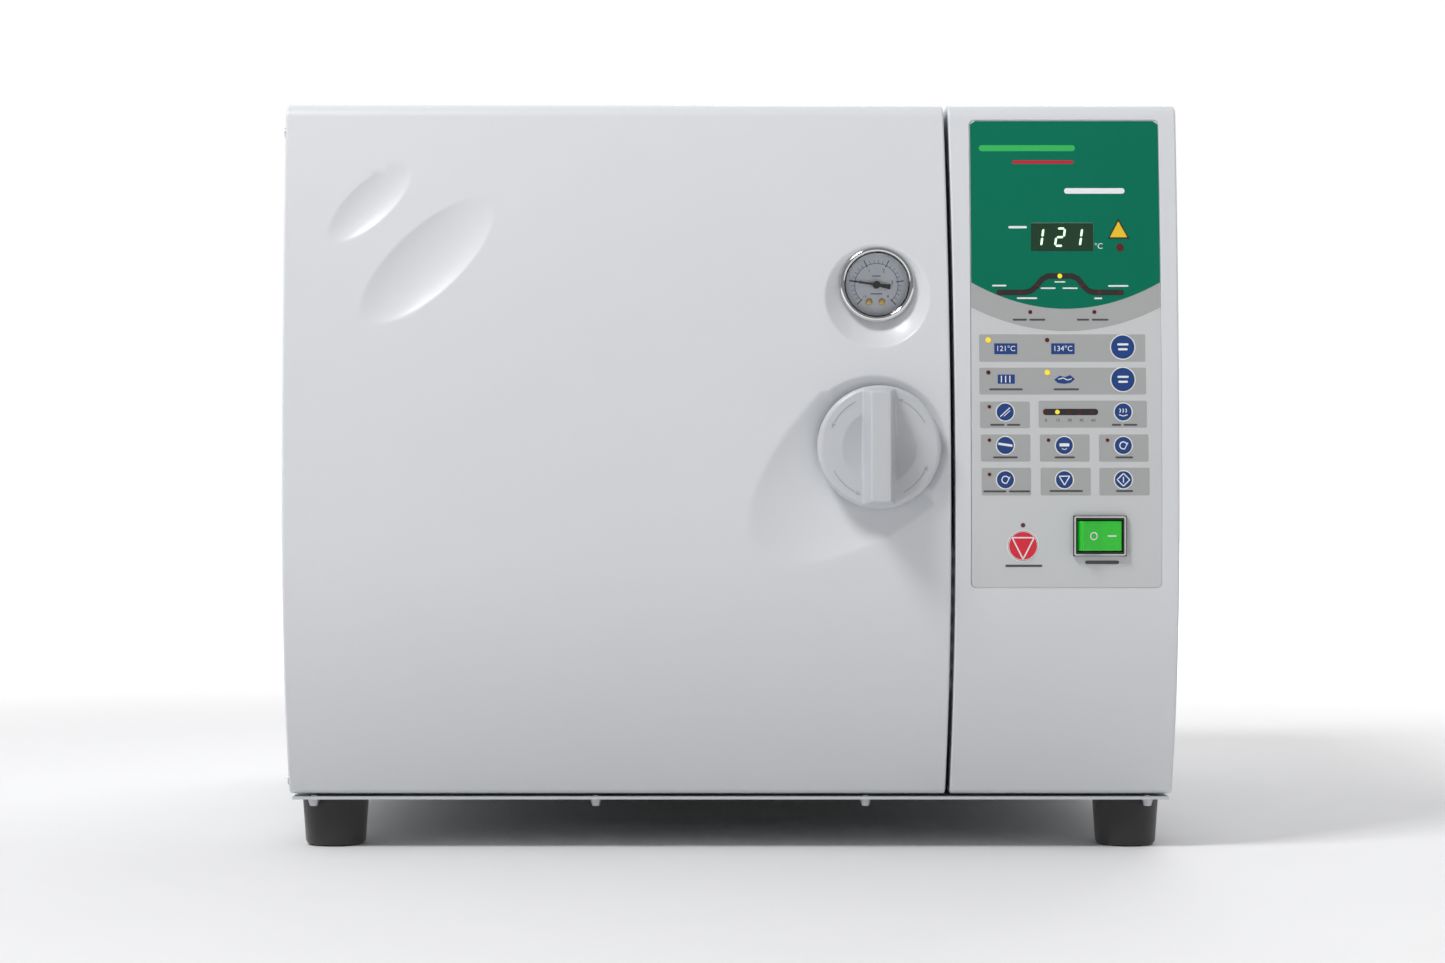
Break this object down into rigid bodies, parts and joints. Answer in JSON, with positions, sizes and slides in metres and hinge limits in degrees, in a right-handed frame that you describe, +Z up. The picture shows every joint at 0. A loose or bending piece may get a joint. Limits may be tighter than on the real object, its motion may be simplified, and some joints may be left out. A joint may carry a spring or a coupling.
{
  "type": "benchtop steam autoclave",
  "caption": "Benchtop steam autoclave: hinged front door with turning latch knob and pressure gauge, side control console, round chamber with trays, water tank and rear fittings.",
  "frame": {"origin": "centre of the footprint at the bottom of the feet, halfway between the knob's grip and the ends of the rear fittings", "axes": "+X to the right seen from the front, +Y from the front to the back, +Z up"},
  "size_m": [0.5152, 0.62, 0.4379],
  "materials": {
    "white_cover": "satin moulded plastic",
    "white_casing": "powder coated",
    "grey_chassis": "powder coated",
    "black_iron": "painted",
    "rubber_black": "matte",
    "zinc_screw": "zinc plated",
    "stainless": "brushed",
    "polished_steel": "polished",
    "mineral_wool": "felted",
    "heater_foil": "foil",
    "tray_aluminium": "anodised",
    "tank_plastic": "translucent",
    "overlay_film": "printed film",
    "display_filter": "tinted",
    "lamp_red": "clear tinted",
    "black_plastic": "fine grain",
    "board_green": "laminate",
    "galvanised": "galvanised",
    "copper_fins": "plain",
    "brass_fitting": "machined",
    "filter_white": "plain",
    "copper_pipe": "drawn",
    "gasket_silicone": "matte",
    "chrome_case": "polished",
    "dial_white": "printed",
    "clear_lens": "clear",
    "hose_silicone": "translucent",
    "knob_white": "satin moulded plastic",
    "rocker_green": "tinted",
    "lever_red": "plain",
    "key_blue": "printed film",
    "key_red": "printed film"
  },
  "bodies": {
    "cabinet": {"base_chassis": "grey_chassis", "rubber_feet": "rubber_black", "chassis_screws": "zinc_screw", "outer_casing": "white_casing", "rear_panel": "white_casing", "front_fascia": "white_cover", "console_housing": "white_cover", "keypad_overlay": "overlay_film", "display_window": "display_filter", "indicator_lamps": "lamp_red", "switch_frame": "black_plastic", "control_board": "board_green", "chamber_vessel": "stainless", "chamber_flange": "polished_steel", "insulation_jacket": "mineral_wool", "heater_bands": "heater_foil", "tray_rack": "stainless", "trays": "tray_aluminium", "water_tank": "tank_plastic", "power_supply": "galvanised", "vacuum_pump": "black_iron", "condenser": "copper_fins", "fan_frame": "black_plastic", "solenoid_valves": "brass_fitting", "safety_valve": "brass_fitting", "drain_valve": "brass_fitting", "air_filter": "filter_white", "power_inlet": "black_plastic", "pipework": "copper_pipe", "hinge_bracket": "black_iron", "hinge_pin": "polished_steel"},
    "door": {"door_cover": "white_cover", "door_liner": "white_cover", "door_arm": "black_iron", "pressure_plate": "polished_steel", "door_gasket": "gasket_silicone", "door_fasteners": "zinc_screw", "gauge_case": "chrome_case", "gauge_dial": "dial_white", "gauge_lens": "clear_lens", "gauge_tube": "hose_silicone"},
    "latch": {"knob": "knob_white", "latch_spindle": "polished_steel"},
    "pointer": {"gauge_pointer": "black_plastic"},
    "rocker": {"power_rocker": "rocker_green"},
    "fan": {"fan_rotor": "black_plastic"},
    "lid": {"filler_lid": "filter_white"},
    "ring": {"safety_ring": "stainless"},
    "lever": {"drain_lever": "lever_red"},
    "key_temperature_body": {"key_temperature": "key_blue"},
    "key_load_body": {"key_load": "key_blue"},
    "key_pump_test_body": {"key_pump_test": "key_blue"},
    "key_dry_time_body": {"key_dry_time": "key_blue"},
    "key_steam_test_body": {"key_steam_test": "key_blue"},
    "key_redry_body": {"key_redry": "key_blue"},
    "key_long_cycle_body": {"key_long_cycle": "key_blue"},
    "key_vacuum_release_body": {"key_vacuum_release": "key_blue"},
    "key_stop_body": {"key_stop": "key_blue"},
    "key_start_body": {"key_start": "key_blue"},
    "key_emergency_body": {"key_emergency": "key_red"}
  },
  "joints": [
    {"name": "door_hinge", "type": "hinge", "parent": "cabinet", "child": "door", "pos_m": [-0.243, -0.237, 0.231], "axis": [0, 0, -1], "range_deg": [0, 110]},
    {"name": "knob_turn", "type": "hinge", "parent": "door", "child": "latch", "pos_m": [0.084, -0.25, 0.231], "axis": [0, 1, 0], "range_deg": [0, 90]},
    {"name": "gauge_pointer", "type": "hinge", "parent": "door", "child": "pointer", "pos_m": [0.0835, -0.266, 0.324], "axis": [0, 1, 0], "range_deg": [-54, 216], "stiffness_Nm_per_rad": 0.0005},
    {"name": "power_rocker", "type": "hinge", "parent": "cabinet", "child": "rocker", "pos_m": [0.2095, -0.2785, 0.1806], "axis": [0, 0, -1], "range_deg": [0, 20]},
    {"name": "fan_spin", "type": "hinge", "parent": "cabinet", "child": "fan", "pos_m": [-0.12, 0.265, 0.15], "axis": [0, 1, 0], "continuous": true},
    {"name": "filler_lid", "type": "hinge", "parent": "cabinet", "child": "lid", "pos_m": [-0.15, 0.104, 0.4339], "axis": [-1, 0, 0], "range_deg": [0, 100]},
    {"name": "safety_ring_pull", "type": "slide", "parent": "cabinet", "child": "ring", "axis": [0, 1, 0], "range_m": [0, 0.003], "stiffness_N_per_m": 800, "springref_m": -0.001},
    {"name": "drain_lever", "type": "hinge", "parent": "cabinet", "child": "lever", "pos_m": [-0.2, 0.295, 0.078], "axis": [0, 0, 1], "range_deg": [0, 90]},
    {"name": "press_temperature", "type": "slide", "parent": "cabinet", "child": "key_temperature_body", "axis": [0, 1, 0], "range_m": [0, 0.0006], "stiffness_N_per_m": 500, "springref_m": -0.001},
    {"name": "press_load", "type": "slide", "parent": "cabinet", "child": "key_load_body", "axis": [0, 1, 0], "range_m": [0, 0.0006], "stiffness_N_per_m": 500, "springref_m": -0.001},
    {"name": "press_pump_test", "type": "slide", "parent": "cabinet", "child": "key_pump_test_body", "axis": [0, 1, 0], "range_m": [0, 0.0006], "stiffness_N_per_m": 500, "springref_m": -0.001},
    {"name": "press_dry_time", "type": "slide", "parent": "cabinet", "child": "key_dry_time_body", "axis": [0, 1, 0], "range_m": [0, 0.0006], "stiffness_N_per_m": 500, "springref_m": -0.001},
    {"name": "press_steam_test", "type": "slide", "parent": "cabinet", "child": "key_steam_test_body", "axis": [0, 1, 0], "range_m": [0, 0.0006], "stiffness_N_per_m": 500, "springref_m": -0.001},
    {"name": "press_redry", "type": "slide", "parent": "cabinet", "child": "key_redry_body", "axis": [0, 1, 0], "range_m": [0, 0.0006], "stiffness_N_per_m": 500, "springref_m": -0.001},
    {"name": "press_long_cycle", "type": "slide", "parent": "cabinet", "child": "key_long_cycle_body", "axis": [0, 1, 0], "range_m": [0, 0.0006], "stiffness_N_per_m": 500, "springref_m": -0.001},
    {"name": "press_vacuum_release", "type": "slide", "parent": "cabinet", "child": "key_vacuum_release_body", "axis": [0, 1, 0], "range_m": [0, 0.0006], "stiffness_N_per_m": 500, "springref_m": -0.001},
    {"name": "press_stop", "type": "slide", "parent": "cabinet", "child": "key_stop_body", "axis": [0, 1, 0], "range_m": [0, 0.0006], "stiffness_N_per_m": 500, "springref_m": -0.001},
    {"name": "press_start", "type": "slide", "parent": "cabinet", "child": "key_start_body", "axis": [0, 1, 0], "range_m": [0, 0.0006], "stiffness_N_per_m": 500, "springref_m": -0.001},
    {"name": "press_emergency", "type": "slide", "parent": "cabinet", "child": "key_emergency_body", "axis": [0, 1, 0], "range_m": [0, 0.0006], "stiffness_N_per_m": 500, "springref_m": -0.001}
  ]
}
